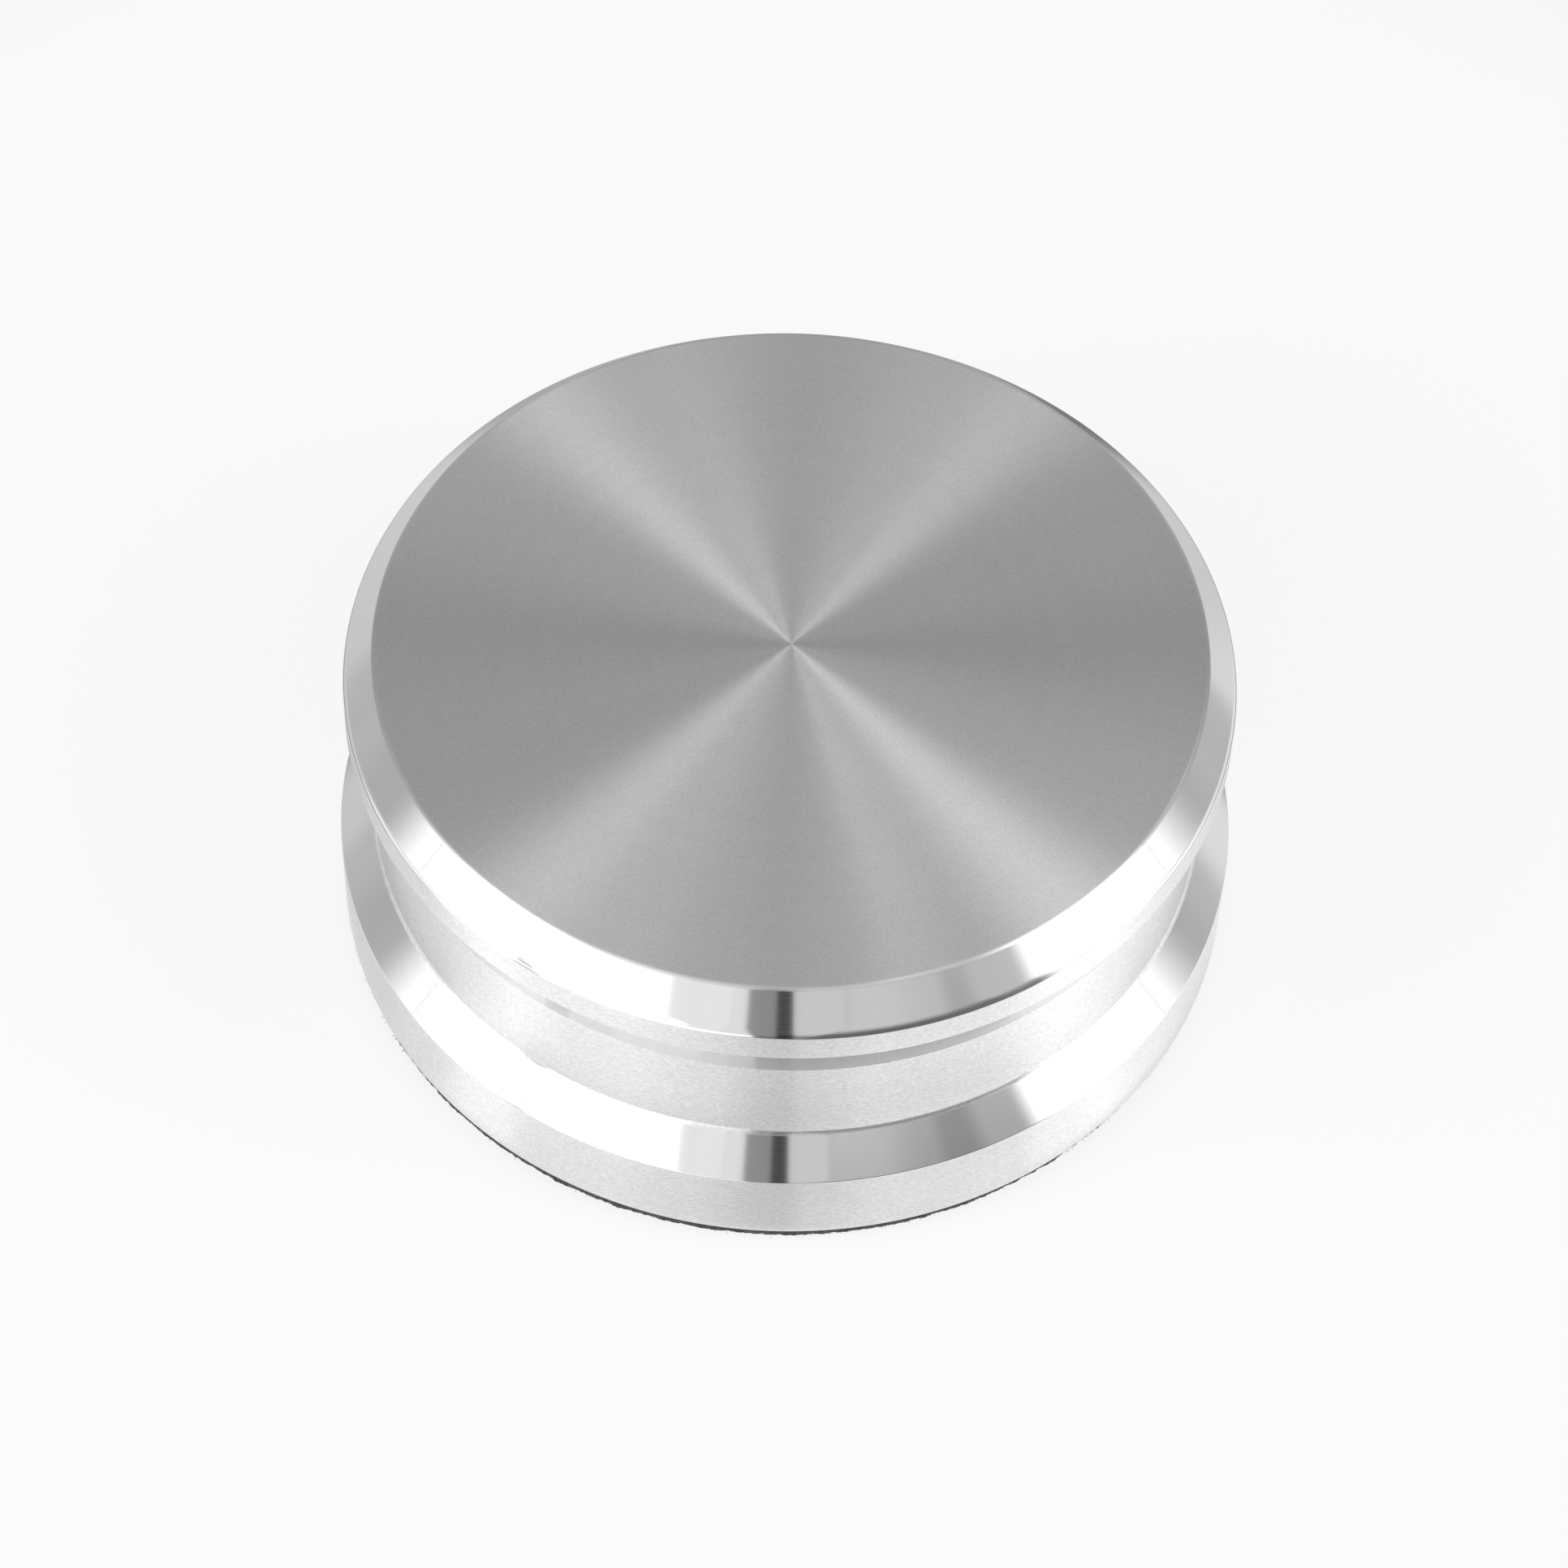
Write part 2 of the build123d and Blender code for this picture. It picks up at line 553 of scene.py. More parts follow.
@dataclass
class WeightBody(Lathe):
    """The puck: flat face, upper bevel, land, undercut, waist, lower bevel, rim, underside and blind bore."""

    base_radius: float = 40.0 * MM
    flange_radius: float = 38.8 * MM
    waist_radius: float = 36.9 * MM
    face_radius: float = 36.05 * MM
    bore_radius: float = 3.75 * MM
    mouth_radius: float = 4.55 * MM
    underside: float = 1.2 * MM
    rim_top: float = 9.15 * MM
    waist_foot: float = 12.45 * MM
    waist_top: float = 21.95 * MM
    flange_foot: float = 26.6 * MM
    flange_top: float = 29.7 * MM
    top_face: float = 32.75 * MM
    bore_start: float = 2.0 * MM
    bore_end: float = 23.2 * MM
    drill_slope: float = math.radians(59)
    face_edge: float = 0.55 * MM
    flange_edge: float = 1.5 * MM
    flange_foot_edge: float = 0.2 * MM
    waist_top_edge: float = 0.5 * MM
    waist_foot_edge: float = 1.1 * MM
    rim_edge: float = 0.2 * MM
    rim_foot_edge: float = 0.3 * MM
    bore_edge: float = 0.05 * MM
    flange_kinks: tuple[float, float] = (0.0, 10.0)
    waist_foot_kinks: tuple[float, float] = (16.0, 0.0)
    facets: int = 384

    def outline(self) -> Outline:
        """Lists the corners from the face's centre, round the outside and up to the drill's point."""
        drill_tip = self.bore_end + self.bore_radius / math.tan(self.drill_slope)
        return Outline((
            Corner(0.0, self.top_face, 0.0, Finish.FACE),
            Corner(self.face_radius, self.top_face, self.face_edge, Finish.BEVEL, Finish.LIP),
            Corner(self.flange_radius, self.flange_top, self.flange_edge, Finish.BAND,
                   kinks=self.flange_kinks),
            Corner(self.flange_radius, self.flange_foot, self.flange_foot_edge, Finish.UNDERCUT, Finish.BAND),
            Corner(self.waist_radius, self.waist_top, self.waist_top_edge, Finish.BAND, Finish.BAND),
            Corner(self.waist_radius, self.waist_foot, self.waist_foot_edge, Finish.BEVEL, Finish.BAND,
                   self.waist_foot_kinks),
            Corner(self.base_radius, self.rim_top, self.rim_edge, Finish.BAND),
            Corner(self.base_radius, self.underside, self.rim_foot_edge, Finish.FACE),
            Corner(self.mouth_radius, self.underside, self.bore_edge, Finish.BORE),
            Corner(self.bore_radius, self.bore_start, self.bore_edge, Finish.BORE),
            Corner(self.bore_radius, self.bore_end, self.bore_edge, Finish.BORE),
            Corner(0.0, drill_tip, 0.0, Finish.BORE),
        ))

    def finishes(self) -> dict[Finish, TurnedFinish]:
        """Names the lathe finish of each stretch of the outline."""
        return {
            Finish.FACE: TurnedFinish("turned_face", 1.0, 0.0, 0.315, 1.0, 0.11 * MM, 0.0004 * MM,
                                      tone_change=0.1),
            Finish.BEVEL: TurnedFinish("polished_bevel", 0.7, -0.7, 0.10, 0.7, 0.2 * MM, 0.00002 * MM,
                                       tone=0.8, tone_change=0.01, roughness_change=0.01),
            Finish.EDGE: TurnedFinish("burnished_edge", 0.7, -0.7, 0.10, 0.5, 0.2 * MM, 0.00002 * MM,
                                      tone=0.8, tone_change=0.01, roughness_change=0.01),
            Finish.BAND: TurnedFinish("turned_band", 0.0, 1.0, 0.195, 0.95, 0.16 * MM, 0.0006 * MM, tone=0.8,
                                      tone_change=0.16, grain_long=0.4 * MM, grain_fine=0.17 * MM, haze=0.15,
                                      edge_tint=0.85),
            Finish.UNDERCUT: TurnedFinish("turned_undercut", 0.0, 1.0, 0.12, 0.9, 0.2 * MM, 0.0002 * MM,
                                          tone=0.86, tone_change=0.06, grain_long=0.9 * MM,
                                          grain_fine=0.13 * MM),
            Finish.BORE: TurnedFinish("drilled_bore", 0.3, 1.0, 0.4, 0.7, 0.3 * MM, 0.003 * MM),
            Finish.LIP: TurnedFinish("softened_edge", 0.7, -0.7, 0.29, 1.0, 0.11 * MM, 0.0002 * MM),
        }

    def build(self) -> Object:
        """Turns the body and dresses it.

        Returns:
            The finished piece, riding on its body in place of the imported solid.
        """
        values: dict[str, Feed] = {"Facets": self.facets, "Weld": WELD}
        values.update({finish.name: look.material() for finish, look in self.finishes().items()})
        outline = self.outline().mesh("body_outline")
        piece = self.freeze("turned_body", outline, self.tree(list(Finish)), values)
        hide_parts("weight_body")
        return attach(piece, BODY)


@dataclass
class FeltPad(NodesPiece):
    """The felt disc under the base, with a cut edge that frays a little, and the fibres that stand out of it.

    The edge is pressed back a little under the base, more on the right than on the left. Strands start in the
    planted span, in shares of the thickness, and the shortest is a share of the full length. Their arch and
    curl are shares of half their length, and their tilt and swing are in radians.
    """

    outer_radius: float = 39.6 * MM
    hole_radius: float = 5.0 * MM
    thickness: float = 1.2 * MM
    edge_round: float = 0.18 * MM
    facets: int = 1260
    set_back: float = 0.03 * MM
    lean: float = 0.1 * MM
    fray: float = 0.12 * MM
    fray_size: float = 0.5 * MM
    fray_reach: float = 0.9 * MM
    fray_span: tuple[float, float] = (0.25, 0.75)
    wave_scale: float = 0.22
    wave_share: float = 0.6
    strands: int = 2600
    strand_length: float = 0.55 * MM
    strand_radius: float = 0.016 * MM
    shortest_strand: float = 0.35
    planted_span: tuple[float, float] = (0.3, 0.95)
    strand_arch: float = 0.35
    strand_curl: float = 0.5
    strand_tilt: float = 0.25
    strand_swing: float = 1.25
    seed: int = 11
    finish: FeltFinish = FeltFinish()

    def outline(self) -> Outline:
        """Lists the corners of the disc's section, from the hole's top edge round to the same place."""
        return Outline((
            Corner(self.hole_radius, self.thickness / 2),
            Corner(self.hole_radius, self.thickness, self.edge_round),
            Corner(self.outer_radius, self.thickness, self.edge_round),
            Corner(self.outer_radius, 0.0, self.edge_round),
            Corner(self.hole_radius, 0.0, self.edge_round),
            Corner(self.hole_radius, self.thickness / 2),
        ), arc_steps=4)

    def disc_tree(self) -> NodeTree:
        """Draws the tree that turns the disc's section, presses its edge back and frays it.

        Returns:
            A tree with inputs for the outline, the facets, the weld, the set back and lean of the edge, the
            fray's depth and size, and the felt.
        """
        graph, given = self.new_tree("felt_disc", {
            "Outline": "NodeSocketGeometry", "Facets": "NodeSocketInt", "Weld": "NodeSocketFloat",
            "Set Back": "NodeSocketFloat", "Lean": "NodeSocketFloat",
            "Fray": "NodeSocketFloat", "Fray Size": "NodeSocketFloat", "Felt": "NodeSocketMaterial",
        })
        lathe = graph.node("GeometryNodeGroup", node_tree=Lathe.tree([]))
        for label in ("Outline", "Facets", "Weld"):
            graph.feed(lathe.inputs[label], given[label])
        place = graph.node("GeometryNodeInputPosition").outputs[0]
        axes = graph.axes(place)
        outward = graph.node("ShaderNodeCombineXYZ", {0: axes[0], 1: axes[1]}).outputs[0]
        reach = graph.vector("LENGTH", outward)
        outward = graph.vector("NORMALIZE", outward)
        scale = graph.math("DIVIDE", 1.0, given["Fray Size"])
        tufts = graph.noise(place, scale, 4.0, Roughness=0.62)
        waves = graph.noise(place, graph.math("MULTIPLY", scale, self.wave_scale), 1.0)
        edge = (self.outer_radius - self.fray_reach, self.outer_radius - self.edge_round)
        near_edge = graph.spread(reach, edge, (0.0, 1.0))
        rough = graph.math("ADD", graph.spread(tufts, self.fray_span, (-1.0, 1.0)),
                           graph.spread(waves, self.fray_span, (-self.wave_share, self.wave_share)))
        push = graph.math("MULTIPLY", rough, given["Fray"])
        sideways = graph.math("DIVIDE", axes[0], reach)
        back = graph.math("MULTIPLY_ADD", sideways, given["Lean"], given["Set Back"])
        push = graph.math("MULTIPLY", graph.math("SUBTRACT", push, back), near_edge)
        offset = graph.node("ShaderNodeVectorMath", {0: outward, "Scale": push}, operation="SCALE").outputs[0]
        frayed = graph.node("GeometryNodeSetPosition", {"Geometry": lathe.outputs[0], "Offset": offset})
        single = graph.node("GeometryNodeRealizeInstances", {0: frayed.outputs[0]})
        dressed = graph.node("GeometryNodeSetMaterial", {"Geometry": single.outputs[0],
                                                         "Material": given["Felt"]})
        graph.node("NodeGroupOutput", {0: dressed.outputs[0]})
        return graph.tree

    def fibre_tree(self) -> NodeTree:
        """Draws the tree that plants bent strands round the cut edge.

        Returns:
            A tree with inputs for the strands' count, length and radius, the edge's radius, lean and height,
            the seed and the felt.
        """
        graph, given = self.new_tree("felt_fibres", {
            "Start": "NodeSocketGeometry", "Count": "NodeSocketInt", "Length": "NodeSocketFloat",
            "Thickness": "NodeSocketFloat", "Edge Radius": "NodeSocketFloat", "Lean": "NodeSocketFloat",
            "Edge Height": "NodeSocketFloat", "Seed": "NodeSocketInt", "Felt": "NodeSocketMaterial",
        })

        def chance(low: Feed, high: Feed, salt: int) -> NodeSocket:
            """A random number for each strand."""
            seed = graph.whole("ADD", given["Seed"], salt)
            made = graph.node("FunctionNodeRandomValue", {2: low, 3: high, "Seed": seed}, data_type="FLOAT")
            return made.outputs[1]

        bearing = chance(-math.pi, math.pi, 1)
        height = graph.math("MULTIPLY", chance(*self.planted_span, 2), given["Edge Height"])
        lean = graph.math("MULTIPLY", graph.math("COSINE", bearing), given["Lean"])
        start = graph.node("ShaderNodeCombineXYZ", {0: graph.math("SUBTRACT", given["Edge Radius"], lean),
                                                    2: height}).outputs[0]
        planted = graph.node("ShaderNodeVectorRotate", {"Vector": start, "Angle": bearing},
                             rotation_type="Z_AXIS")
        points = graph.node("GeometryNodePoints", {"Count": given["Count"], "Position": planted.outputs[0]})
        half = graph.math("MULTIPLY", given["Length"], 0.5)
        arch = graph.math("MULTIPLY", half, self.strand_arch)
        curl = graph.math("MULTIPLY", half, self.strand_curl)
        middle = graph.node("ShaderNodeCombineXYZ", {0: half, 2: arch}).outputs[0]
        end = graph.node("ShaderNodeCombineXYZ", {0: given["Length"], 1: curl})
        strand = graph.node("GeometryNodeCurveQuadraticBezier", {
            "Resolution": 4, "Start": (0.0, 0.0, 0.0), "Middle": middle, "End": end.outputs[0],
        })
        ring = graph.node("GeometryNodeCurvePrimitiveCircle", {"Resolution": 3, "Radius": given["Thickness"]})
        hair = graph.node("GeometryNodeCurveToMesh", {0: strand.outputs[0], 1: ring.outputs[0],
                                                      "Fill Caps": True})
        turn = graph.node("ShaderNodeCombineXYZ", {
            0: chance(-math.pi, math.pi, 3), 1: chance(-self.strand_tilt, self.strand_tilt, 4),
            2: graph.math("ADD", bearing, chance(-self.strand_swing, self.strand_swing, 5)),
        }).outputs[0]
        many = graph.node("GeometryNodeInstanceOnPoints", {
            "Points": points.outputs[0], "Instance": hair.outputs[0], "Rotation": turn,
            "Scale": chance(self.shortest_strand, 1.0, 6),
        })
        single = graph.node("GeometryNodeRealizeInstances", {0: many.outputs[0]})
        dressed = graph.node("GeometryNodeSetMaterial", {"Geometry": single.outputs[0],
                                                         "Material": given["Felt"]})
        graph.node("NodeGroupOutput", {0: dressed.outputs[0]})
        return graph.tree

    def build(self) -> tuple[Object, Object]:
        """Makes the disc and its fibres.

        Returns:
            The disc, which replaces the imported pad, and the fibres that go with it.
        """
        felt = self.finish.material()
        disc = self.freeze("felt_pad", self.outline().mesh("pad_outline"), self.disc_tree(), {
            "Facets": self.facets, "Weld": WELD, "Set Back": self.set_back, "Lean": self.lean,
            "Fray": self.fray, "Fray Size": self.fray_size, "Felt": felt,
        })
        fibres = self.freeze("felt_fibres", bpy.data.meshes.new("fibre_start"), self.fibre_tree(), {
            "Count": self.strands, "Length": self.strand_length, "Thickness": self.strand_radius,
            "Edge Radius": self.outer_radius - self.set_back - self.fray, "Lean": self.lean,
            "Edge Height": self.thickness, "Seed": self.seed, "Felt": felt,
        })
        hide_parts("base_pad")
        for piece in (disc, fibres):
            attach(piece, BODY)
        return disc, fibres


@dataclass(frozen=True)
class Softbox:
    """An upright light rectangle; its heights are shares of its distance from the axis.

    Its left and right ends fade over shares of its width.
    """

    name: str
    azimuth: float
    half_width: float
    low: float
    high: float
    glow: float
    distance: float = 0.3
    soft_left: float = 0.0
    soft_right: float = 0.0

    def build(self) -> Object:
        """Makes the light, out of the camera's sight, facing the axis."""
        lamp = bpy.data.lights.new(self.name, "AREA")
        lamp.shape = "RECTANGLE"
        lamp.size = 2 * self.distance * math.tan(math.radians(self.half_width))
        lamp.size_y = self.distance * (self.high - self.low)
        lamp.energy = self.glow * math.pi * lamp.size * lamp.size_y
        self._fade(lamp)
        made = new_object(self.name, lamp)
        middle = self.distance * (self.low + self.high) / 2
        made.location = at_azimuth(self.azimuth, self.distance, middle)
        made.rotation_mode = "QUATERNION"
        made.rotation_quaternion = (-at_azimuth(self.azimuth, 1.0, 0.0)).to_track_quat("-Z", "Y")
        made.visible_camera = False
        return made

    def _fade(self, lamp: AreaLight) -> None:
        """Fades the light's ends, across its own surface."""
        if not (self.soft_left or self.soft_right):
            return
        lamp.use_nodes = True
        lamp.node_tree.nodes.clear()
        graph = Graph(lamp.node_tree)
        spot = graph.node("ShaderNodeNewGeometry").outputs["Parametric"]
        across = graph.axes(spot)[0]
        strength: Feed = 1.0
        if self.soft_left:
            strength = graph.rise(across, (0.0, self.soft_left))
        if self.soft_right:
            right = graph.fall(across, (1.0 - self.soft_right, 1.0))
            strength = graph.math("MULTIPLY", strength, right)
        light = graph.node("ShaderNodeEmission", {"Color": grey(1.0), "Strength": strength})
        graph.node("ShaderNodeOutputLight", {"Surface": light.outputs[0]})


@dataclass(frozen=True)
class Card:
    """An upright card that only reflections show; its glow fades from the top of its fade down to its foot.

    Its height and its fade are shares of its distance from the axis.
    """

    name: str
    azimuth_from: float
    azimuth_to: float
    glow: float
    foot_glow: float
    high: float = 1.18
    fade: float = 0.3
    distance: float = 1.0
    lift: float = 0.2 * MM

    def build(self) -> Object:
        """Makes the card as a stage object."""
        top = self.high * self.distance
        spots = [at_azimuth(self.azimuth_from, self.distance, self.lift),
                 at_azimuth(self.azimuth_to, self.distance, self.lift),
                 at_azimuth(self.azimuth_to, self.distance, top),
                 at_azimuth(self.azimuth_from, self.distance, top)]
        return reflected_piece(self.name, spots, [(0, 1, 2, 3)], self._material())

    def _material(self) -> Material:
        """A glow that fades towards the card's foot."""
        material, graph = new_material(self.name)
        height = graph.axes(graph.place())[2]
        fade = (0.0, self.fade * self.distance)
        glow = graph.spread(height, fade, (self.foot_glow, self.glow), smooth=True)
        return end_in_glow(material, graph, glow)


@dataclass(frozen=True)
class WallCard:
    """A card of the front wall: where its left edge stands, and how it glows above its foot.

    The edge's azimuth is that at the wall's middle, and its lean is in degrees for each metre of height.
    The foot's glow changes to the card's own from the foot start, a share of the foot's height, to its top.
    """

    azimuth: float
    lean: float
    soft: float
    glow: float
    foot_glow: float
    foot: float


@dataclass(frozen=True)
class FrontWall:
    """A low round wall of cards close to the weight, in front of it, that only reflections show."""

    distance: float = 110 * MM
    lip: float = 82 * MM
    height: float = 95 * MM
    middle: float = 60 * MM
    foot_start: float = 0.2
    lift: float = 0.3 * MM
    azimuth_from: float = -34.0
    azimuth_to: float = 62.0
    steps: int = 48

    def cards(self) -> list[WallCard]:
        """Lists the cards from left to right; the first has no edge of its own."""
        return [
            WallCard(-90.0, 0, 1.0, 1.40, 1.90, 14 * MM),
            WallCard(-19.2, -150, 0.4, 0.97, 1.60, 14 * MM),
            WallCard(-15.8, 0, 0.3, 0.93, 1.50, 14 * MM),
            WallCard(-15.2, 0, 0.3, 0.97, 1.55, 14 * MM),
            WallCard(-9.0, 20, 0.15, 0.84, 1.40, 14 * MM),
            WallCard(-8.6, 20, 0.15, 0.90, 1.40, 14 * MM),
            WallCard(-5.5, -20, 0.4, 0.31, 0.20, 22 * MM),
            WallCard(-0.28, 0, 0.35, 0.06, 0.03, 40 * MM),
            WallCard(2.84, 0, 0.3, 0.70, 0.28, 38 * MM),
            WallCard(11.5, 110, 0.3, 0.62, 0.18, 60 * MM),
            WallCard(12.5, 110, 0.3, 0.69, 0.16, 62 * MM),
            WallCard(24.0, 0, 5.0, 0.62, 0.16, 69 * MM),
            WallCard(31.2, 0, 1.5, 0.52, 0.18, 78 * MM),
            WallCard(37.0, -90, 2.0, 0.60, 0.24, 60 * MM),
            WallCard(47.6, -50, 2.4, 1.60, 1.20, 40 * MM),
        ]

    def build(self) -> Object:
        """Makes the wall with a lip on the floor in front of it, as a stage object."""
        rows = [(self.lip, self.lift), (self.distance, self.lift), (self.distance, self.height)]
        spots = []
        for step in range(self.steps + 1):
            azimuth = self.azimuth_from + (self.azimuth_to - self.azimuth_from) * step / self.steps
            spots.extend(at_azimuth(azimuth, radius, height) for radius, height in rows)
        faces = []
        for step in range(self.steps):
            for row in range(len(rows) - 1):
                first = step * len(rows) + row
                faces.append((first, first + len(rows), first + len(rows) + 1, first + 1))
        return reflected_piece("front_wall", spots, faces, self._material())

    def _material(self) -> Material:
        """One glow for all the cards, which changes at their edges and towards their feet."""
        material, graph = new_material("front_wall")
        axes = graph.axes(graph.place())
        bearing = graph.bearing(axes)
        height = graph.math("SUBTRACT", axes[2], self.middle)
        first, *others = self.cards()
        glow: Feed = first.glow
        foot_glow: Feed = first.foot_glow
        foot: Feed = first.foot
        for card in others:
            past = graph.math("MULTIPLY_ADD", height, -card.lean, bearing)
            share = graph.rise(past, (card.azimuth - card.soft, card.azimuth + card.soft))
            glow = graph.blend(share, glow, card.glow)
            foot_glow = graph.blend(share, foot_glow, card.foot_glow)
            foot = graph.blend(share, foot, card.foot)
        above = graph.rise(graph.math("DIVIDE", axes[2], foot), (self.foot_start, 1.0))
        return end_in_glow(material, graph, graph.blend(above, foot_glow, glow))


@dataclass(frozen=True)
class FloorStop:
    """A change of glow round the lit floor: its middle's azimuth, half its width, and the glows after it.

    The second glow is that of the outer part of the floor, and the third that of the far part.
    """

    azimuth: float
    soft: float
    glow: float
    outer_glow: float
    far_glow: float


@dataclass(frozen=True)
class LitFloor:
    """The ring of floor close to the weight as the metal shows it, brightest where the softboxes light it.

    The azimuths of its stops hold at the middle radius; closer to the axis each stop is nearer to the front.
    In front, up to the two foot ends, the floor right at the weight's foot has only a share of that glow: a
    painted shade of the weight. On the right this painted shade dips lower still a little further out.
    """

    inner: float = 41 * MM
    outer: float = 280 * MM
    middle: float = 50 * MM
    turn: float = 14.0
    turn_end: float = 62 * MM
    fade_from: float = 65 * MM
    fade_to: float = 76 * MM
    fade_end: float = 90 * MM
    # Painted shade of the weight at its foot: the shares of the floor's glow that are kept there.
    left_foot_shade_share: float = 0.9
    left_foot_reach: tuple[float, float] = (44 * MM, 48 * MM)
    left_foot_end: tuple[float, float] = (-66.0, -48.0)
    right_foot_shade_share: float = 0.8
    right_foot_end: tuple[float, float] = (42.0, 66.0)
    dip_shade_share: float = 0.7
    dip_start: tuple[float, float] = (45 * MM, 48 * MM)
    dip_end: tuple[float, float] = (48.5 * MM, 51 * MM)
    side_change: tuple[float, float] = (-12.0, 6.0)
    lift: float = 0.1 * MM
    steps: int = 120

    def stops(self) -> list[FloorStop]:
        """Lists the changes of glow from the back, by the left, the front and the right, to the back."""
        return [
            FloorStop(-180.0, 1.0, 0.52, 0.40, 0.70),
            FloorStop(-98.0, 10.0, 0.90, 0.15, 0.70),
            FloorStop(-77.0, 4.0, 0.90, 0.15, 1.00),
            FloorStop(-68.0, 6.0, 0.97, 0.45, 1.15),
            FloorStop(-54.0, 5.0, 1.32, 1.70, 1.70),
            FloorStop(-40.5, 3.5, 1.06, 1.40, 1.50),
            FloorStop(-19.0, 6.0, 0.92, 1.20, 1.40),
            FloorStop(-8.0, 6.0, 0.79, 0.40, 0.98),
            FloorStop(3.5, 2.5, 0.98, 0.05, 0.98),
            FloorStop(12.0, 6.0, 1.18, 0.03, 0.98),
            FloorStop(30.0, 8.0, 1.27, 0.03, 0.98),
            FloorStop(40.0, 3.5, 1.48, 1.50, 1.50),
            FloorStop(59.0, 6.0, 1.20, 0.60, 1.25),
            FloorStop(76.0, 8.0, 1.08, 0.15, 0.90),
            FloorStop(104.0, 8.0, 0.52, 0.15, 0.70),
        ]

    def build(self) -> Object:
        """Makes the ring as a stage object."""
        spots = []
        for step in range(self.steps):
            azimuth = 360.0 * step / self.steps
            spots.extend(at_azimuth(azimuth, radius, self.lift) for radius in (self.inner, self.outer))
        count = len(spots)
        faces = [(k, k + 1, (k + 3) % count, (k + 2) % count) for k in range(0, count, 2)]
        return reflected_piece("lit_floor", spots, faces, self._material())

    def _material(self) -> Material:
        """A glow that changes round the ring and away from it."""
        material, graph = new_material("lit_floor")
        place = graph.place()
        reach = graph.vector("LENGTH", place)
        past = graph.math("SUBTRACT", self.middle, graph.math("MINIMUM", reach, self.turn_end))
        bearing = graph.math("MULTIPLY", graph.bearing(graph.axes(place)),
                             graph.math("MULTIPLY_ADD", past, self.turn, 1.0))
        first, *others = self.stops()
        glow: Feed = first.glow
        outer_glow: Feed = first.outer_glow
        far_glow: Feed = first.far_glow
        for stop in others:
            share = graph.rise(bearing, (stop.azimuth - stop.soft, stop.azimuth + stop.soft))
            glow = graph.blend(share, glow, stop.glow)
            outer_glow = graph.blend(share, outer_glow, stop.outer_glow)
            far_glow = graph.blend(share, far_glow, stop.far_glow)
        glow = graph.math("MULTIPLY", glow, self._foot(graph, reach, bearing))
        glow = graph.blend(graph.rise(reach, (self.fade_from, self.fade_to)), glow, outer_glow)
        glow = graph.blend(graph.rise(reach, (self.fade_to, self.fade_end)), glow, far_glow)
        return end_in_glow(material, graph, glow)

    def _foot(self, graph: Graph, reach: NodeSocket, bearing: NodeSocket) -> NodeSocket:
        """Works out the share of its glow that the floor keeps at the weight's foot, which paints the
        weight's shade there.

        Args:
            graph: the graph of the floor's material.
            reach: the distance from the axis.
            bearing: the azimuth that the stops go by.

        Returns:
            The share, which is 1 away from the foot.
        """
        left = graph.spread(reach, self.left_foot_reach, (self.left_foot_shade_share, 1.0), smooth=True)
        left = graph.blend(graph.rise(bearing, self.left_foot_end), 1.0, left)
        right = graph.spread(reach, self.dip_start, (self.right_foot_shade_share, self.dip_shade_share), smooth=True)
        right = graph.blend(graph.rise(reach, self.dip_end), right, 1.0)
        right = graph.blend(graph.fall(bearing, self.right_foot_end), 1.0, right)
        return graph.blend(graph.rise(bearing, self.side_change), left, right)


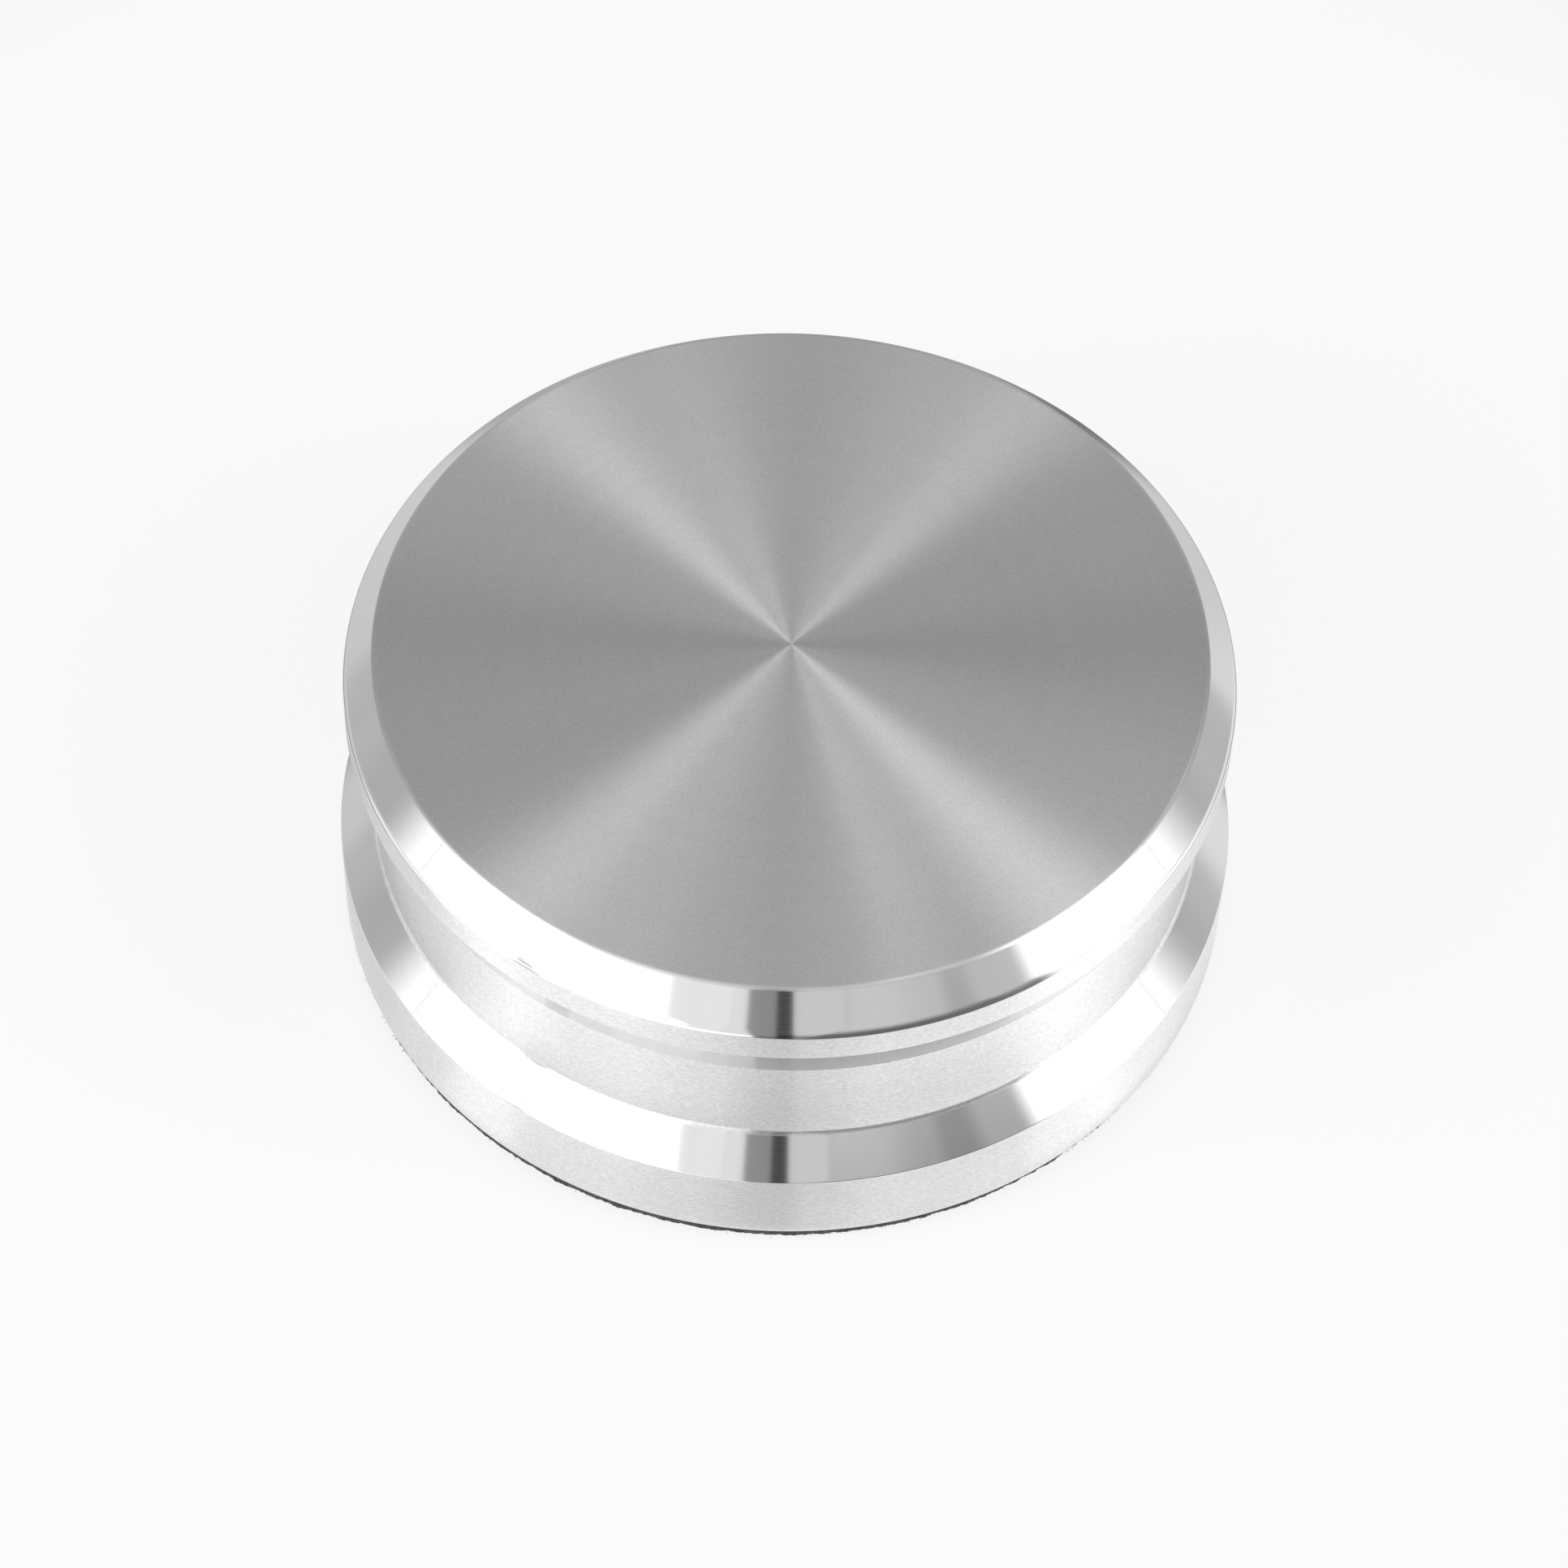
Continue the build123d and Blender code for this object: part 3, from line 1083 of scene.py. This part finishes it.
@dataclass(frozen=True)
class Studio:
    """A pale floor, grey surroundings, softboxes to the left and right, and the cards in front.

    The spans say where each tone takes over: those of the floor, the back and the front by how far a
    direction points to the back, and the others by how far it points up, with 1 for straight there.
    """

    floor_radius: float = 2.5
    floor_steps: int = 96
    floor_drop: float = 0.05 * MM
    floor_tone: float = 0.95
    floor_white: float = 0.96
    floor_far: float = 0.58
    white_reach: float = 0.12
    grey_reach: float = 0.27
    floor_span: tuple[float, float] = (-0.35, 0.0)
    shadow_share: float = 0.15
    side: float = 0.58
    back: float = 0.36
    back_span: tuple[float, float] = (-0.26, 0.74)
    horizon: float = 0.59
    horizon_span: tuple[float, float] = (0.0, 0.1)
    ceiling: float = 0.82
    ceiling_span: tuple[float, float] = (0.57, 0.71)
    front_span: tuple[float, float] = (-0.5, 0.1)
    zenith: float = 0.64
    zenith_span: tuple[float, float] = (0.875, 0.998)

    def softboxes(self) -> list[Softbox]:
        """Lists the lights."""
        return [
            Softbox("left_box", -59.25, 34.75, 0.0, 1.25, 1.1, 0.4, soft_left=0.28),
            Softbox("left_lamp", -64.0, 11.3, 0.42, 1.17, 4.2, 0.4),
            Softbox("left_shoulder", -128.0, 20.0, 0.9, 1.6, 0.2, 0.6, soft_left=0.4, soft_right=0.4),
            Softbox("left_back", -150.0, 14.0, 0.3, 0.75, 0.2, 0.4, soft_left=0.3, soft_right=0.3),
            Softbox("right_box", 79.2, 23.7, 0.0, 1.55, 1.9, 0.6, soft_right=0.63),
            Softbox("right_lamp", 75.0, 12.0, 0.6, 1.55, 4.0, 0.28, soft_left=0.4),
            Softbox("right_shoulder", 128.0, 20.0, 0.9, 1.6, 0.6, 0.6, soft_left=0.4, soft_right=0.4),
            Softbox("right_back", 150.0, 14.0, 0.4, 0.8, 0.25, 0.25, soft_left=0.3, soft_right=0.3),
            Softbox("upper_left", -80.0, 39.0, 3.57, 5.24, 0.9, 0.049, soft_left=0.3, soft_right=0.3),
            Softbox("upper_right", 74.0, 39.0, 4.0, 5.8, 3.3, 0.031, soft_left=0.3, soft_right=0.3),
        ]

    def cards(self) -> list[Card]:
        """Lists the far cards, from left to right."""
        return [
            Card("front_left_card", -24.0, -6.1, 0.95, 0.9),
            Card("grey_strip", -6.1, -0.3, 0.32, 0.2, high=1.7),
            Card("dark_strip", -0.3, 3.2, 0.07, 0.05, high=1.7),
            Card("front_card", 3.2, 34.0, 0.72, 0.1),
            Card("right_card", 34.0, 55.0, 0.64, 0.06),
            Card("stand_foot", -50.4, -46.8, 0.85, 0.75, high=0.26, distance=0.147),
            Card("stand_leg", -48.0, -42.5, 0.05, 0.05, high=0.11, distance=0.076),
            Card("stand", -50.3, -48.8, 0.9, 0.9, high=0.5, distance=0.147),
            Card("left_seam", -79.4, -78.8, 0.75, 0.75, distance=0.28),
            Card("right_seam", 85.1, 85.9, 0.9, 0.9, distance=0.28),
        ]

    def build(self) -> None:
        """Makes the floor, the world, the lights and the cards."""
        self._floor()
        self._world()
        for light in self.softboxes():
            light.build()
        for card in self.cards():
            card.build()
        FrontWall().build()
        LitFloor().build()

    def _floor(self) -> None:
        """A round floor that is white near the weight, greys behind it and keeps a faint shadow."""
        mesh = bpy.data.meshes.new("floor")
        spots = [at_azimuth(360.0 * step / self.floor_steps, self.floor_radius, -self.floor_drop)
                 for step in range(self.floor_steps)]
        mesh.from_pydata(spots, [], [tuple(range(self.floor_steps))])
        material, graph = new_material("pale_floor")
        place = graph.place()
        reach = graph.vector("LENGTH", place)
        behind = graph.rise(graph.math("DIVIDE", graph.axes(place)[1], reach), self.floor_span)
        far = graph.math("MULTIPLY", graph.rise(reach, (self.white_reach, self.grey_reach)), behind)
        paint = graph.mix(far, grey(self.floor_tone), grey(self.floor_tone * self.floor_far))
        white = graph.mix(far, grey(self.floor_white), grey(self.floor_far))
        matte = graph.node("ShaderNodeBsdfDiffuse", {"Color": paint})
        plain = graph.node("ShaderNodeEmission", {"Color": white, "Strength": 1.0})
        rays = graph.node("ShaderNodeLightPath").outputs
        seen = graph.math("MAXIMUM", rays["Is Glossy Ray"], rays["Is Transmission Ray"])
        seen = graph.math("MAXIMUM", rays["Is Camera Ray"], seen)
        share = graph.math("MULTIPLY", seen, 1.0 - self.shadow_share)
        surface = graph.node("ShaderNodeMixShader", {0: share, 1: matte.outputs[0], 2: plain.outputs[0]})
        graph.node("ShaderNodeOutputMaterial", {"Surface": surface.outputs[0]})
        material.cycles.emission_sampling = "NONE"
        mesh.materials.append(material)
        new_object("floor", mesh)

    def _world(self) -> None:
        """Grey surroundings, darker behind the weight, and paler above its front and at the horizon."""
        world = bpy.data.worlds.new("studio")
        world.use_nodes = True
        world.node_tree.nodes.clear()
        graph = Graph(world.node_tree)
        axes = graph.axes(graph.node("ShaderNodeTexCoord").outputs["Generated"])
        back = graph.math("DIVIDE", axes[1], graph.radius(axes))
        walls = graph.mix(graph.rise(back, self.back_span), grey(self.side), grey(self.back))
        walls = graph.mix(graph.fall(axes[2], self.horizon_span), walls, grey(self.horizon))
        front = graph.math("MULTIPLY", graph.fall(back, self.front_span),
                           graph.rise(axes[2], self.ceiling_span))
        walls = graph.mix(front, walls, grey(self.ceiling))
        tone = graph.mix(graph.rise(axes[2], self.zenith_span), walls, grey(self.zenith))
        light = graph.node("ShaderNodeBackground", {"Color": tone, "Strength": 1.0})
        graph.node("ShaderNodeOutputWorld", {"Surface": light.outputs[0]})
        bpy.context.scene.world = world


@dataclass(frozen=True)
class PhotoCamera:
    """The camera: where it stands from the middle of the top face, and how it is turned."""

    distance: float = 410.93 * MM
    elevation: float = math.radians(51.42)
    pitch: float = math.radians(53.11)
    yaw: float = math.radians(0.0477)
    roll: float = math.radians(2.0367)
    lens: float = 109.29
    sensor: float = 36.0
    nearest: float = 0.01
    furthest: float = 20.0

    def build(self, target: Vector) -> Object:
        """Makes the camera and gives it to the scene.

        Args:
            target: the middle of the top face.

        Returns:
            The camera.
        """
        optics = bpy.data.cameras.new("photo_camera")
        optics.lens = self.lens
        optics.sensor_width = self.sensor
        optics.clip_start = self.nearest
        optics.clip_end = self.furthest
        made = new_object("photo_camera", optics)
        away = Vector((0.0, -math.cos(self.elevation), math.sin(self.elevation)))
        turn = (Matrix.Rotation(self.yaw, 4, "Z") @ Matrix.Rotation(math.pi / 2 - self.pitch, 4, "X")
                @ Matrix.Rotation(self.roll, 4, "Z"))
        made.matrix_world = Matrix.Translation(target + away * self.distance) @ turn
        bpy.context.scene.camera = made
        return made


def main() -> None:
    """Builds the weight, its pad, the studio and the camera."""
    logging.basicConfig(level=logging.INFO, format="%(name)s: %(message)s")
    body = WeightBody()
    pieces = [body.build(), *FeltPad().build()]
    for piece in pieces:
        log.info("%s: %d faces, materials %s", piece.name, len(piece.data.polygons),
                 [material.name for material in piece.data.materials])
    Studio().build()
    PhotoCamera().build(Vector((0.0, 0.0, body.top_face)))
    bpy.context.scene.view_settings.view_transform = "Standard"


if __name__ == "__main__":
    main()
